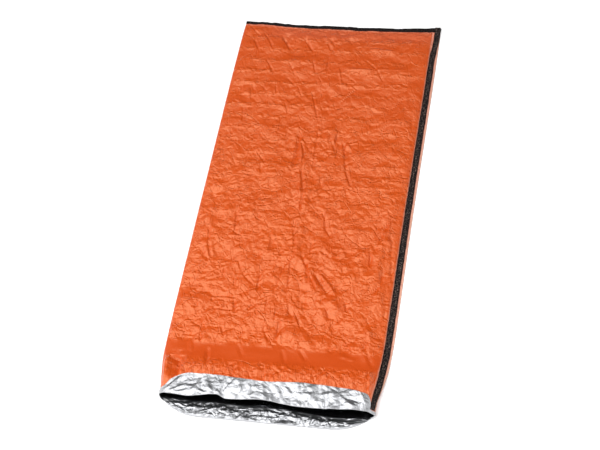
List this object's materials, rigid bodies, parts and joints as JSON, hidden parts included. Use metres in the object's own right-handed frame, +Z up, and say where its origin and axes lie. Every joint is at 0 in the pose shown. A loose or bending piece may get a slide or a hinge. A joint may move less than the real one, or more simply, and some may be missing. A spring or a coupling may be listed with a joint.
{
  "type": "emergency sleeping bag",
  "caption": "Film emergency sleeping bag laid out flat, closed at the foot, taped along one side, with its open mouth's hem turned out as a cuff.",
  "frame": {"origin": "centre of the bounding box on the floor the bag lies on", "axes": "+X to the taped side, +Y along the bag from the mouth to the closed foot, +Z up from the floor"},
  "size_m": [0.9179, 2.023, 0.061],
  "materials": {
    "coated_film": "crinkled orange polyethylene film, aluminised silver on its inner side",
    "black_tape": "matt black nonwoven tape"
  },
  "bodies": {
    "root": {"film_sack": "coated_film", "foot_binding": "black_tape", "side_tape": "black_tape"}
  },
  "joints": []
}
